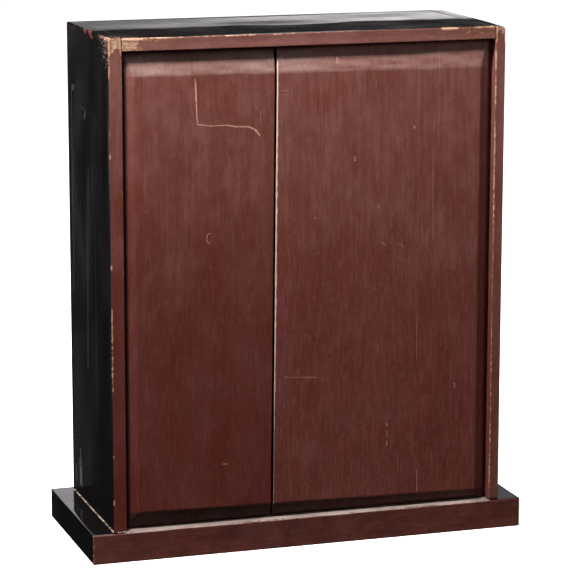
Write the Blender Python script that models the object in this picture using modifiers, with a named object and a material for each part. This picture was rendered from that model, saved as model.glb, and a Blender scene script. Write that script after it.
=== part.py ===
"""Altar cabinet: a small lacquered house-altar cabinet on its plinth.

The front faces -Y and the back faces +Y. Left and right are as seen from the front, so right is +X.
The origin is on the floor, at the centre of the plinth. Everything is in metres.
"""

import math

import bmesh
import bpy
from mathutils import Vector

# Case
CASE_WIDTH = 0.420
CASE_DEPTH = 0.175
CASE_HEIGHT = 0.502
BOARD_THICKNESS = 0.016
BOARD_ARRIS = 0.0006

# Plinth, and how far it stands out past the case
PLINTH_HEIGHT = 0.031
PLINTH_SIDE_OVERHANG = 0.023
PLINTH_FRONT_OVERHANG = 0.0074
PLINTH_REAR_OVERHANG = 0.0045
PLINTH_ARRIS = 0.0008

# Back edges of the boards, outside the rabbet that the back panel lies in
RIGHT_LIP = 0.0134
LEFT_LIP = 0.0105
TOP_LIP = 0.0131

# Back panel: three boards with one bevelled border
PANEL_THICKNESS = 0.0125
PANEL_RECESS = 0.0025
PANEL_SHRINKAGE = 0.0020
BEVEL_DROP = 0.0045
EDGE_CHAMFER = 0.0040
RIGHT_BORDER = 0.0123
LEFT_BORDER = 0.0137
TOP_BORDER_RIGHT = 0.0239
TOP_BORDER_LEFT = 0.0281
BOTTOM_BORDER_RIGHT = 0.0179
BOTTOM_BORDER_LEFT = 0.0112

# Widths of the outer back boards, which taper a little, and of the slit between two of them
RIGHT_BOARD_WIDTH_TOP = 0.1570
RIGHT_BOARD_WIDTH_BOTTOM = 0.1530
SLIT_TOP = 0.0018
SLIT_BOTTOM = 0.0027
LEFT_BOARD_WIDTH_TOP = 0.0816
LEFT_BOARD_WIDTH_BOTTOM = 0.0798

# Doors, which close flush with the front edges of the side boards
DOOR_THICKNESS = 0.012
DOOR_HINGE_CLEARANCE = 0.0010
DOOR_MEETING_GAP = 0.0020
DOOR_END_CLEARANCE = 0.0015
DOOR_ARRIS = 0.0008
STOP_SIZE = 0.008

# Butt hinges on the front
HINGE_HEIGHT = 0.040
HINGE_FROM_DOOR_END = 0.075
HINGE_LEAF_WIDTH = 0.0115
HINGE_LEAF_THICKNESS = 0.0010
KNUCKLE_RADIUS = 0.0025
KNUCKLE_CLEARANCE = 0.0004
PIN_RADIUS = 0.0011
PIN_CLEARANCE = 0.0001
PIN_HEAD_RADIUS = 0.0018
PIN_HEAD_HEIGHT = 0.0014

# Knobs
KNOB_FROM_MEETING_EDGE = 0.016
KNOB_ROSE_RADIUS = 0.0075
KNOB_ROSE_THICKNESS = 0.0010
KNOB_NECK_RADIUS = 0.0028
KNOB_NECK_LENGTH = 0.0018
KNOB_BUTTON_RADIUS = 0.0062
KNOB_BUTTON_THICKNESS = 0.0036

# Room between pieces that touch
TOUCH = 0.0003

ROUND_SIDES = 24
SMALLEST_MERGE = 0.00001

# Places worked out from the sizes
plinth_width = CASE_WIDTH + 2 * PLINTH_SIDE_OVERHANG
plinth_depth = CASE_DEPTH + PLINTH_FRONT_OVERHANG + PLINTH_REAR_OVERHANG
case_back = plinth_depth / 2 - PLINTH_REAR_OVERHANG
case_front = case_back - CASE_DEPTH
case_bottom = PLINTH_HEIGHT + TOUCH
case_top = case_bottom + CASE_HEIGHT
inside_half_width = CASE_WIDTH / 2 - BOARD_THICKNESS
inside_top = case_top - BOARD_THICKNESS

right_wall = CASE_WIDTH / 2 - RIGHT_LIP
left_wall = LEFT_LIP - CASE_WIDTH / 2
rabbet_depth = PANEL_RECESS + PANEL_THICKNESS + TOUCH
rabbet_front = case_back - rabbet_depth

panel_front = rabbet_front + TOUCH
panel_back = case_back - PANEL_RECESS
panel_bottom = PLINTH_HEIGHT + TOUCH
panel_top = case_top - TOP_LIP - TOUCH
panel_right = right_wall - TOUCH
panel_left = left_wall + PANEL_SHRINKAGE

door_back = case_front + DOOR_THICKNESS
door_bottom = PLINTH_HEIGHT + DOOR_END_CLEARANCE
door_top = inside_top - DOOR_END_CLEARANCE
hinge_x = inside_half_width - DOOR_HINGE_CLEARANCE / 2
hinge_y = case_front - TOUCH - KNUCKLE_RADIUS
hinge_places = {"upper": door_top - HINGE_FROM_DOOR_END, "lower": door_bottom + HINGE_FROM_DOOR_END}


def clear_scene():
    for old in list(bpy.data.objects):
        bpy.data.objects.remove(old, do_unlink=True)


def new_collection(name):
    collection = bpy.data.collections.new(name)
    bpy.context.scene.collection.children.link(collection)
    return collection


def finish(name, colour, roughness, metallic=0.0):
    """A plain Principled material."""
    material = bpy.data.materials.new(name)
    material.use_nodes = True
    shader = material.node_tree.nodes["Principled BSDF"]
    shader.inputs["Base Color"].default_value = (*colour, 1.0)
    shader.inputs["Roughness"].default_value = roughness
    shader.inputs["Metallic"].default_value = metallic
    return material


def add_piece(name, mesh, material, location=(0, 0, 0), collection=None):
    piece = bpy.data.objects.new(name, mesh)
    mesh.materials.append(material)
    piece.location = location
    (collection or parts).objects.link(piece)
    return piece


def box(name, low, high, material, collection=None):
    """A box between two corners, with its origin at its centre."""
    low, high = Vector(low), Vector(high)
    shape = bmesh.new()
    bmesh.ops.create_cube(shape, size=1)
    bmesh.ops.scale(shape, vec=high - low, verts=shape.verts)
    mesh = bpy.data.meshes.new(name)
    shape.to_mesh(mesh)
    shape.free()
    return add_piece(name, mesh, material, (low + high) / 2, collection)


def cutter_box(name, low, high):
    cutter = box(name, low, high, cutter_material, cutters)
    cutter.hide_render = True
    cutter.display_type = "WIRE"
    return cutter


def cut(piece, cutter):
    """Takes the cutter's shape out of the piece."""
    boolean = piece.modifiers.new("cut " + cutter.name, "BOOLEAN")
    boolean.operation = "DIFFERENCE"
    boolean.object = cutter


def soften(piece, width):
    """Rounds the arrises of a board."""
    bevel = piece.modifiers.new("arris", "BEVEL")
    bevel.width = width
    bevel.segments = 2
    bevel.limit_method = "ANGLE"
    bevel.angle_limit = math.radians(40)


def hang_on(piece, axis):
    """Parents a piece to an empty without moving it."""
    piece.parent = axis
    piece.location -= axis.location


def plane_off(shape, first, second, third, kept):
    """Planes wood away beyond the plane through three points, on the side away from the kept point."""
    first, second, third, kept = Vector(first), Vector(second), Vector(third), Vector(kept)
    normal = (second - first).cross(third - first).normalized()
    if (kept - first).dot(normal) > 0:
        normal = -normal
    everything = shape.verts[:] + shape.edges[:] + shape.faces[:]
    planed = bmesh.ops.bisect_plane(shape, geom=everything, dist=1e-7, plane_co=first, plane_no=normal,
                                    clear_outer=True)
    rim = [item for item in planed["geom_cut"] if isinstance(item, bmesh.types.BMEdge)]
    if rim:
        bmesh.ops.holes_fill(shape, edges=rim)


def border_planes():
    """The slopes round the panel: for each side a wide bevel, then a steep chamfer at the thin edge.

    Each slope is three points: two on the line where it starts and one on the line where it ends.
    """
    bevel_foot = panel_back - BEVEL_DROP
    thin_edge = bevel_foot - EDGE_CHAMFER
    sides = []
    for edge, inward, border in ((panel_right, -1, RIGHT_BORDER), (panel_left, 1, LEFT_BORDER)):
        field = edge + inward * border
        foot = edge + inward * EDGE_CHAMFER
        sides.append(((field, panel_back, panel_top), (field, panel_back, panel_bottom),
                      (foot, bevel_foot, panel_bottom)))
        sides.append(((foot, bevel_foot, panel_top), (foot, bevel_foot, panel_bottom),
                      (edge, thin_edge, panel_bottom)))
    for edge, inward, right, left in ((panel_top, -1, TOP_BORDER_RIGHT, TOP_BORDER_LEFT),
                                      (panel_bottom, 1, BOTTOM_BORDER_RIGHT, BOTTOM_BORDER_LEFT)):
        foot = edge + inward * EDGE_CHAMFER
        middle = (panel_right + panel_left) / 2
        sides.append(((panel_right, panel_back, edge + inward * right),
                      (panel_left, panel_back, edge + inward * left), (middle, bevel_foot, foot)))
        sides.append(((panel_right, bevel_foot, foot), (panel_left, bevel_foot, foot),
                      (middle, thin_edge, edge)))
    return sides


def back_board(name, right_top, right_bottom, left_top, left_bottom):
    """One upright board of the panel, between two lines that may lean, with the panel's border planed on."""
    shape = bmesh.new()
    bmesh.ops.create_cube(shape, size=1)
    low = Vector((min(left_top, left_bottom), panel_front, panel_bottom))
    high = Vector((max(right_top, right_bottom), panel_back, panel_top))
    bmesh.ops.scale(shape, vec=high - low, verts=shape.verts)
    centre = (low + high) / 2
    bmesh.ops.translate(shape, vec=centre, verts=shape.verts)
    for top_x, bottom_x in ((right_top, right_bottom), (left_top, left_bottom)):
        if top_x != bottom_x:
            plane_off(shape, (top_x, panel_back, panel_top), (bottom_x, panel_back, panel_bottom),
                      (top_x, panel_front, panel_top), centre)
    for first, second, third in border_planes():
        plane_off(shape, first, second, third, centre)
    bmesh.ops.translate(shape, vec=-centre, verts=shape.verts)
    mesh = bpy.data.meshes.new(name)
    shape.to_mesh(mesh)
    shape.free()
    return add_piece(name, mesh, red_paint, centre)


def arc(radius, start, end, count):
    """Points along an arc about the origin, angles in degrees."""
    steps = [math.radians(start + (end - start) * index / count) for index in range(count + 1)]
    return [(radius * math.cos(angle), radius * math.sin(angle)) for angle in steps]


def outline_mesh(name, outlines, height):
    """A closed mesh between z = -height/2 and height/2, from flat outlines; an inner one is a hole."""
    curve = bpy.data.curves.new(name, "CURVE")
    curve.dimensions = "2D"
    curve.fill_mode = "BOTH"
    curve.extrude = height / 2
    for points in outlines:
        spline = curve.splines.new("POLY")
        spline.points.add(len(points) - 1)
        for point, (x, y) in zip(spline.points, points):
            point.co = (x, y, 0, 1)
        spline.use_cyclic_u = True
    guide = bpy.data.objects.new(name, curve)
    bpy.context.scene.collection.objects.link(guide)
    bpy.context.view_layer.update()
    evaluated = guide.evaluated_get(bpy.context.evaluated_depsgraph_get())
    mesh = bpy.data.meshes.new_from_object(evaluated)
    bpy.data.objects.remove(guide)
    bpy.data.curves.remove(curve)
    shape = bmesh.new()
    shape.from_mesh(mesh)
    bmesh.ops.remove_doubles(shape, verts=shape.verts, dist=SMALLEST_MERGE)
    bmesh.ops.recalc_face_normals(shape, faces=shape.faces)
    shape.to_mesh(mesh)
    shape.free()
    return mesh


def hinge_leaf(name, centre, flipped, other_knuckles):
    """A leaf with its rolled knuckles, cut away where the other leaf's knuckles go.

    As drawn, the leaf runs to +X from the pin. Flipped, it is half round about Y and runs to -X.
    """
    meets_plate = math.degrees(math.asin(1 - HINGE_LEAF_THICKNESS / KNUCKLE_RADIUS))
    roll = arc(KNUCKLE_RADIUS, 90, 360 + meets_plate, ROUND_SIDES)
    plate_end = [(HINGE_LEAF_WIDTH, KNUCKLE_RADIUS - HINGE_LEAF_THICKNESS), (HINGE_LEAF_WIDTH, KNUCKLE_RADIUS)]
    hole = arc(PIN_RADIUS + PIN_CLEARANCE, 0, 360, ROUND_SIDES)[:-1]
    mesh = outline_mesh(name, [roll + plate_end, hole], HINGE_HEIGHT)
    leaf = add_piece(name, mesh, brass, centre)
    leaf.rotation_euler = (0, math.pi if flipped else 0, 0)
    reach = KNUCKLE_RADIUS + KNUCKLE_CLEARANCE
    for number, (low, high) in enumerate(other_knuckles):
        cutter = cutter_box("%s_room_%d" % (name, number),
                            (centre[0] - reach, centre[1] - reach, centre[2] + low),
                            (centre[0] + reach, centre[1] + reach, centre[2] + high))
        cut(leaf, cutter)
    return leaf


def turned(name, profile, material, centre, rotation=(0, 0, 0)):
    """A turned piece: (radius, height) points from the top down, spun about its own Z."""
    mesh = bpy.data.meshes.new(name)
    points = [(radius, 0, height) for radius, height in profile]
    mesh.from_pydata(points, [(index, index + 1) for index in range(len(points) - 1)], [])
    piece = add_piece(name, mesh, material, centre)
    piece.rotation_euler = rotation
    spin = piece.modifiers.new("spin", "SCREW")
    spin.steps = ROUND_SIDES
    spin.render_steps = ROUND_SIDES
    spin.use_merge_vertices = True
    spin.merge_threshold = SMALLEST_MERGE
    spin.use_smooth_shade = False
    return piece


def dome(radius, height, base, count):
    """Points from the crown of a low dome down to its rim."""
    angles = [math.radians(90 * index / count) for index in range(count + 1)]
    return [(radius * math.sin(angle), base + height * math.cos(angle)) for angle in angles]


def make_plinth():
    plinth = box("plinth", (-plinth_width / 2, -plinth_depth / 2, 0),
                 (plinth_width / 2, plinth_depth / 2, PLINTH_HEIGHT), black_lacquer)
    soften(plinth, PLINTH_ARRIS)


def make_side_board(name, side, wall):
    """A side board, standing on the plinth, with its rabbet along the inner back edge."""
    inner, outer = side * inside_half_width, side * CASE_WIDTH / 2
    board = box(name, (min(inner, outer), case_front, case_bottom), (max(inner, outer), case_back, case_top),
                black_lacquer)
    past = side * (inside_half_width - BOARD_THICKNESS)
    rabbet = cutter_box(name + "_rabbet", (min(past, wall), rabbet_front, case_bottom - BOARD_THICKNESS),
                        (max(past, wall), case_back + BOARD_THICKNESS, case_top + BOARD_THICKNESS))
    cut(board, rabbet)
    soften(board, BOARD_ARRIS)


def make_top_board():
    """The top board: it fills the rabbets of the side boards behind, and has its own along its lower edge."""
    top = box("top_board", (left_wall + TOUCH, case_front, inside_top),
              (right_wall - TOUCH, case_back, case_top), black_lacquer)
    for side in (-1, 1):
        end = side * (inside_half_width - TOUCH)
        past = side * CASE_WIDTH / 2
        notch = cutter_box("top_board_notch_%s" % ("left" if side < 0 else "right"),
                           (min(end, past), case_front - BOARD_THICKNESS, inside_top - BOARD_THICKNESS),
                           (max(end, past), rabbet_front + TOUCH, case_top + BOARD_THICKNESS))
        cut(top, notch)
    rabbet = cutter_box("top_board_rabbet",
                        (-CASE_WIDTH / 2, rabbet_front, inside_top - BOARD_THICKNESS),
                        (CASE_WIDTH / 2, case_back + BOARD_THICKNESS, case_top - TOP_LIP))
    cut(top, rabbet)
    soften(top, BOARD_ARRIS)


def make_back_panel():
    right_joint_top = panel_right - RIGHT_BOARD_WIDTH_TOP
    right_joint_bottom = panel_right - RIGHT_BOARD_WIDTH_BOTTOM
    left_joint_top = panel_left + LEFT_BOARD_WIDTH_TOP
    left_joint_bottom = panel_left + LEFT_BOARD_WIDTH_BOTTOM
    back_board("back_board_right", panel_right, panel_right, right_joint_top, right_joint_bottom)
    back_board("back_board_middle", right_joint_top - SLIT_TOP, right_joint_bottom - SLIT_BOTTOM,
               left_joint_top + TOUCH, left_joint_bottom + TOUCH)
    back_board("back_board_left", left_joint_top, left_joint_bottom, panel_left, panel_left)


def make_door_stop():
    stop_front = door_back + TOUCH
    stop = box("door_stop", (TOUCH - inside_half_width, stop_front, inside_top - TOUCH - STOP_SIZE),
               (inside_half_width - TOUCH, stop_front + STOP_SIZE, inside_top - TOUCH), black_lacquer)
    soften(stop, BOARD_ARRIS)


def make_door(word, side):
    """A door leaf with its knob, and both its hinges, which all turn about the pins' axis."""
    axis = bpy.data.objects.new("door_%s_axis" % word, None)
    axis.location = (side * hinge_x, hinge_y, 0)
    parts.objects.link(axis)

    meeting = side * DOOR_MEETING_GAP / 2
    hinged = side * (inside_half_width - DOOR_HINGE_CLEARANCE)
    leaf = box("door_" + word, (min(meeting, hinged), case_front, door_bottom),
               (max(meeting, hinged), door_back, door_top), black_lacquer)
    soften(leaf, DOOR_ARRIS)
    hang_on(leaf, axis)

    knob = make_knob("knob_" + word, side * (DOOR_MEETING_GAP / 2 + KNOB_FROM_MEETING_EDGE))
    hang_on(knob, axis)

    for place, height in hinge_places.items():
        centre = Vector((side * hinge_x, hinge_y, height))
        knuckle = HINGE_HEIGHT / 6
        room = KNUCKLE_CLEARANCE / 2
        name = "hinge_%s_%s" % (place, word)
        hinge_leaf(name + "_case_leaf", centre, side < 0, [(-knuckle - room, knuckle + room)])
        door_leaf = hinge_leaf(name + "_door_leaf", centre, side > 0,
                               [(-HINGE_HEIGHT, room - knuckle), (knuckle - room, HINGE_HEIGHT)])
        hang_on(door_leaf, axis)
        make_pin(name + "_pin", centre)


def make_pin(name, centre):
    """A pin with a domed head at each end, just clear of the knuckles."""
    head = HINGE_HEIGHT / 2 + TOUCH
    crown = dome(PIN_HEAD_RADIUS, PIN_HEAD_HEIGHT, head, 4)
    upper = crown + [(PIN_RADIUS, head)]
    lower = [(radius, -height) for radius, height in reversed(upper)]
    turned(name, upper + lower, brass, centre)


def make_knob(name, x):
    """A low turned button on a flat rose, standing out from the door's face."""
    neck_top = KNOB_ROSE_THICKNESS + KNOB_NECK_LENGTH
    button = dome(KNOB_BUTTON_RADIUS, KNOB_BUTTON_THICKNESS, neck_top, 6)
    profile = button + [(KNOB_NECK_RADIUS, neck_top), (KNOB_NECK_RADIUS, KNOB_ROSE_THICKNESS),
                        (KNOB_ROSE_RADIUS, KNOB_ROSE_THICKNESS), (KNOB_ROSE_RADIUS, 0), (0, 0)]
    centre = (x, case_front - TOUCH, (door_top + door_bottom) / 2)
    return turned(name, profile, brass, centre, (math.radians(90), 0, 0))


clear_scene()
parts = new_collection("altar_cabinet")
cutters = new_collection("cutters")
black_lacquer = finish("black_lacquer", (0.010, 0.009, 0.010), 0.18)
red_paint = finish("red_paint", (0.180, 0.052, 0.036), 0.55)
brass = finish("brass", (0.560, 0.390, 0.150), 0.30, 1.0)
cutter_material = finish("cutter", (0.5, 0.5, 0.5), 0.5)

make_plinth()
make_side_board("side_board_right", 1, right_wall)
make_side_board("side_board_left", -1, left_wall)
make_top_board()
make_back_panel()
make_door_stop()
make_door("right", 1)
make_door("left", -1)
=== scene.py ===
# Altar cabinet, a small house-altar case on its plinth, seen from behind.
# Worn black lacquer outside, thin red-brown paint on the faces behind.
# Right and left are the cabinet's own, so its right side is at +X.
import math
from functools import partial

import bpy
import numpy as np
from mathutils import Matrix, Vector


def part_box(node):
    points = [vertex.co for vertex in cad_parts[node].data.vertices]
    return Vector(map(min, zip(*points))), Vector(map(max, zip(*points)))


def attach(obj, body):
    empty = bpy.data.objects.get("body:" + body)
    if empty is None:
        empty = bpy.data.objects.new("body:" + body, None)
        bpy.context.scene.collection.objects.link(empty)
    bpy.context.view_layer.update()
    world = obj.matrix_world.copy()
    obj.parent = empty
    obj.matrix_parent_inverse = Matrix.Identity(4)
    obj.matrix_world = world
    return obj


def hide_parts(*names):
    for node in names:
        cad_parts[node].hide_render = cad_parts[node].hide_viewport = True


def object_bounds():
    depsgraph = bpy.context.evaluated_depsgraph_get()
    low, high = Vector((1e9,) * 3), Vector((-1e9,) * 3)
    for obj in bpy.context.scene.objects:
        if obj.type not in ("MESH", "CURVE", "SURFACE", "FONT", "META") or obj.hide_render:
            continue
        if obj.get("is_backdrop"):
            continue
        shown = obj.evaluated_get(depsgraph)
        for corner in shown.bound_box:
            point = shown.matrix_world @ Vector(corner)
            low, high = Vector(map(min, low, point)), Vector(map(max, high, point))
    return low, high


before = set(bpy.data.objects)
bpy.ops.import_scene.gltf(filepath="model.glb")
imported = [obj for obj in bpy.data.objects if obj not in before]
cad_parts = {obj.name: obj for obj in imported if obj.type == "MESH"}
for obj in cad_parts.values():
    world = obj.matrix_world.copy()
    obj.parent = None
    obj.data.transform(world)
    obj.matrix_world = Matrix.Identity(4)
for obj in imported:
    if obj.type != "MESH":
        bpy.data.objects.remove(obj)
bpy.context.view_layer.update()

mm = 0.001


# Small helpers

def linear(hexColour):
    # sRGB hex to the linear colour that shaders take
    parts = [int(hexColour[i:i + 2], 16) / 255 for i in (1, 3, 5)]
    return [c / 12.92 if c <= 0.04045 else ((c + 0.055) / 1.055) ** 2.4 for c in parts] + [1.0]


def smooth(low, high, value):
    # 0 below low, 1 above high, eased between
    t = np.clip((value - low) / (high - low), 0, 1)
    return t * t * (3 - 2 * t)


def wander(seed, a, b, lengthA, lengthB, waves=7):
    # a smooth random surface between about -1 and 1: a sum of sine waves with seeded lengths and phases
    dice = np.random.default_rng(seed)
    total = 0 * (a + b)
    for _ in range(waves):
        turnsA, turnsB = dice.uniform(0.4, 1.3, 2)
        sign = dice.choice((-1, 1))
        turns = a * turnsA / lengthA + sign * b * turnsB / lengthB + dice.uniform()
        total = total + np.sin(2 * np.pi * turns)
    return total / math.sqrt(waves) / 1.4


def wearAlong(places, along, seed):
    # how worn an arris is along its length, 0 to 1: a light ragged rub everywhere, more at the named places,
    # each place being (middle, half length, amount)
    ragged = 0.5 + 0.5 * wander(seed, along, 0 * along, 0.017, 1.0, 9)
    fine = 0.5 + 0.5 * wander(seed + 1, along, 0 * along, 0.0055, 1.0, 9)
    worn = 0.30 * ragged * fine
    for middle, half, amount in places:
        near = 1 - smooth(0.7 * half, 1.15 * half, np.abs(along - middle))
        worn = np.maximum(worn, amount * near * (0.72 + 0.28 * fine))
    return np.clip(worn, 0, 1)


def gridFaces(rows, columns, closed):
    # quads between neighbouring rows of a grid of points; closed joins the last column to the first
    row = np.arange(rows - 1)[:, None] * columns
    column = np.arange(columns if closed else columns - 1)[None, :]
    following = (column + 1) % columns
    quads = [row + column, row + following, row + columns + following, row + columns + column]
    return np.stack(quads, axis=-1).reshape(-1, 4)


def closeRings(rings, firstPoint, lastPoint):
    # a grid of rings, closed at both ends by a fan of triangles to a point
    rows, sides = rings.shape[:2]
    points = np.concatenate([rings.reshape(-1, 3), [firstPoint, lastPoint]])
    step = np.arange(sides)
    after, base, tip = (step + 1) % sides, (rows - 1) * sides, 0 * step + rows * sides
    fans = np.concatenate([np.stack([tip, after, step], axis=-1),
                           np.stack([tip + 1, base + step, base + after], axis=-1)])
    return points, gridFaces(rows, sides, True).tolist() + fans.tolist()


def addPiece(name, points, faces, body, nodes, materials, faceMaterial=None, worn=None, dustAndPaintedLight=None,
             paintedShade=None, sharp=38):
    # puts the arrays into a mesh, shades it smooth except at sharp edges, and ties it to the frame
    mesh = bpy.data.meshes.new(name)
    mesh.from_pydata(np.asarray(points, dtype=float).tolist(), [], faces)
    for material in materials:
        mesh.materials.append(material)
    if faceMaterial is not None:
        mesh.polygons.foreach_set("material_index", np.asarray(faceMaterial, dtype=np.int32))
    for layerName, values in (("worn", worn), ("dustAndPaintedLight", dustAndPaintedLight), ("paintedShade", paintedShade)):
        if values is not None:
            layer = mesh.attributes.new(layerName, "FLOAT", "POINT")
            layer.data.foreach_set("value", np.asarray(values, dtype=np.float32).ravel())
    mesh.shade_smooth()
    mesh.set_sharp_from_angle(angle=math.radians(sharp))
    piece = bpy.data.objects.new(name, mesh)
    bpy.context.scene.collection.objects.link(piece)
    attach(piece, body)
    if nodes:
        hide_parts(*nodes)
    return piece


# Sweeping a board: an outline with rounded corners carried along the board's length

def rectangle(low, high, a, b):
    # the outline of a box, seen along the axis that isn't a or b
    return [(low[a], low[b]), (high[a], low[b]), (high[a], high[b]), (low[a], high[b])]


endRings = np.array([1.1, 2.6]) * mm      # how far inside its rim the two rings of a board's end face lie


def graded(length, step):
    # places along a flat side, from 0 to 1, close together near its two arrises
    fine = [d * mm for d in (0.5, 1.1, 2.0, 3.4) if d * mm < length / 2 - 0.2 * mm]
    start = fine[-1] if fine else 0
    middle = np.linspace(start, length - start, max(2, int(round((length - 2 * start) / step)) + 1))
    places = np.concatenate([fine[:-1], middle, [length - d for d in fine[-2::-1]]]) if fine else middle[1:-1]
    return places / length


def outlineRings(corners, radii, inset, arcSteps, sideSteps):
    # One ring of points for each station, round an outline given counter-clockwise.
    # Corner P with unit directions a back and b ahead is rounded about C = P + r(a + b) by
    # C - r(b cos t + a sin t), t from 0 to 90 degrees. An inset moves P by inset (a + b), or the other
    # way at a hollow corner.
    corners = np.asarray(corners, dtype=float)
    count = len(corners)
    arcs = []
    for i in range(count):
        back = corners[i - 1] - corners[i]
        ahead = corners[(i + 1) % count] - corners[i]
        a, b = back / np.linalg.norm(back), ahead / np.linalg.norm(ahead)
        hollow = -back[0] * ahead[1] + back[1] * ahead[0] < 0
        moved = corners[i] + (-1 if hollow else 1) * inset[:, None] * (a + b)
        r = np.maximum(radii[i] - (0 if hollow else 1) * inset, 0.06 * mm)[:, None, None]
        t = np.linspace(0, np.pi / 2, arcSteps + 1)[None, :, None]
        centre = moved[:, None, :] + r * (a + b)
        arcs.append(centre - r * (b * np.cos(t) + a * np.sin(t)))
    ring, side, reach = [], [], []
    for i in range(count):
        half = arcSteps // 2
        ring.append(arcs[i])
        side += [(i - 1) % count] * half + [i] * (arcSteps - half) + [i]
        reach += [(i, 0.0)] * (arcSteps + 1)
        start, end = arcs[i][:, -1:], arcs[(i + 1) % count][:, :1]
        share = graded(np.linalg.norm(corners[(i + 1) % count] - corners[i]), sideSteps[i])
        ring.append(start + share[None, :, None] * (end - start))
        side += [i] * len(share)
        reach += [(i, s) for s in share]
    return np.concatenate(ring, axis=1), np.array(side), reach


def addBoard(name, body, board, axes, waveSeed, materials):
    # The rings carried along the length, with both ends rounded and closed. axes says which of x, y, z
    # the outline's two directions and the length are, in turning order.
    # Flat sides are planed a little hollow by hand, in waves, and "worn" fades away from each arris.
    corners, length = np.asarray(board["outline"], dtype=float), board["length"]
    endRadius, count = board["endRadius"], len(board["outline"])
    stations = board.get("stations")
    if stations is None:
        stations = np.linspace(length[0] + endRadius, length[1] - endRadius,
                               int(round((length[1] - length[0]) / board["step"])))
    turn = np.linspace(0, np.pi / 2, 4)[1:]
    back, rounded = endRadius * (1 - np.sin(turn)), endRadius * (1 - np.cos(turn))
    farIn = endRadius + endRings
    along = np.concatenate([length[0] + 0 * farIn, length[0] + back[::-1], stations, length[1] - back,
                            length[1] + 0 * farIn])
    inset = np.concatenate([farIn[::-1], rounded[::-1], 0 * stations, rounded, farIn])
    wear = [wearAlong(board["wear"].get(i, []), along, waveSeed + 10 * i) if i in board["wear"] else 0 * along
            for i in range(count)]
    own = board.get("ownRadius", {})
    radii = [own.get(i, board["radius"]) + board["loss"] * w ** 2 for i, w in enumerate(wear)]
    sideSteps = [board.get("sideStep", {}).get(i, 12 * mm) for i in range(count)]
    ring, side, reach = outlineRings(corners, radii, inset, board.get("arcSteps", 4), sideSteps)

    worn = np.zeros(ring.shape[:2])
    wave = np.zeros(ring.shape[:2])
    normals = np.zeros((ring.shape[1], 2))
    for column, (i, share) in enumerate(reach):
        ahead = corners[(i + 1) % count] - corners[i]
        sideLength = np.linalg.norm(ahead)
        if share == 0:
            worn[:, column] = wear[i]
            continue
        near, far = share * sideLength, (1 - share) * sideLength
        for rub, distance in ((wear[i], near), (wear[(i + 1) % count], far)):
            fading = np.exp(-(distance / (0.8 * mm)) ** 1.3 / (0.25 + 2.2 * rub ** 2))
            worn[:, column] = np.maximum(worn[:, column], rub * fading)
        normals[column] = (ahead[1] / sideLength, -ahead[0] / sideLength)
        edge = smooth(0, 6 * mm, min(near, far))
        wave[:, column] = edge * (wander(waveSeed + 3 + i, along, near + 0 * along, 0.21, 0.09) - 1.4)
    ring = ring + board["wave"] * np.minimum(wave, 0)[:, :, None] * normals[None]
    if "reshape" in board:
        board["reshape"](ring, along)
    dustAndPaintedLight = np.zeros(worn.shape)
    if "touchUp" in board:
        board["touchUp"](worn, dustAndPaintedLight, ring, along)
    worn[[0, 1, -2, -1]] *= np.array([0, 0.3, 0.3, 0])[:, None]

    rows, columns = ring.shape[:2]
    points = np.zeros((rows, columns, 3))
    points[:, :, axes[0]] = ring[:, :, 0]
    points[:, :, axes[1]] = ring[:, :, 1]
    points[:, :, axes[2]] = along[:, None]
    faces = gridFaces(rows, columns, True).tolist()
    faces.append(list(range(columns))[::-1])
    faces.append(list(range((rows - 1) * columns, rows * columns)))
    bands = [board["sideMaterial"][s] for s in side] * (rows - 1)
    rimBands = len(endRings) * columns
    endMaterial = board.get("endMaterial", (0, 0))
    bands[:rimBands] = [endMaterial[0]] * rimBands
    bands[-rimBands:] = [endMaterial[1]] * rimBands
    return addPiece(name, points.reshape(-1, 3), faces, body, [name], materials,
                    bands + list(endMaterial), worn, dustAndPaintedLight)


# Materials

eased = {"interpolation_type": "SMOOTHSTEP"}


def addNode(tree, kind, sockets=(), **settings):
    # Adds one node. Settings are its own properties. Sockets are given in order, or by place or name,
    # each as a value to set, a hex colour, or a node or a node's socket to join to it.
    node = tree.nodes.new("ShaderNode" + kind)
    for key, value in settings.items():
        setattr(node, key, value)
    for key, value in (sockets if isinstance(sockets, dict) else dict(enumerate(sockets))).items():
        if isinstance(value, bpy.types.Node):
            value = next(output for output in value.outputs if output.enabled)
        if isinstance(value, bpy.types.NodeSocket):
            tree.links.new(value, node.inputs[key])
        else:
            node.inputs[key].default_value = linear(value) if isinstance(value, str) else value
    return node


def newMaterial(name):
    material = bpy.data.materials.new(name)
    material.use_nodes = True
    material.node_tree.nodes.clear()
    add = partial(addNode, material.node_tree)
    return material, add, add("TexCoord").outputs["Object"]


def finishMaterial(material, add, sockets):
    add("OutputMaterial", [add("BsdfPrincipled", sockets)])
    return material


def inCells(add, place, sizes):
    # the object's coordinates divided by a pattern's size along x, y and z, in mm
    return add("VectorMath", (place, [1 / (size * mm) for size in sizes]), operation="MULTIPLY")


def blobs(add, place, sizes, detail=3.0, roughness=0.55):
    # a noise whose blobs are about the given mm along x, y and z
    return add("TexNoise", {"Vector": inCells(add, place, sizes), "Scale": 1.0, "Detail": detail,
                            "Roughness": roughness})


def grained(add, place, upright, size):
    # the same drawn out along the grain: size is (mm across, mm along, detail, roughness)
    across, along, detail, roughness = size
    sizes = (across, across, along) if upright else (along, across, across)
    return blobs(add, place, sizes, detail, roughness)


def layOver(add, colour, layers):
    # Lays colours over one another. Each layer is (share, colour) or (pattern, colour, start, end, least,
    # most), and then the share goes smoothly from least to most as the pattern goes from start to end.
    for share, over, *span in layers:
        if span:
            share = add("MapRange", (share, *span), **eased)
        colour = add("Mix", {0: share, 6: colour, 7: over}, data_type="RGBA").outputs[2]
    return colour


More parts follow.
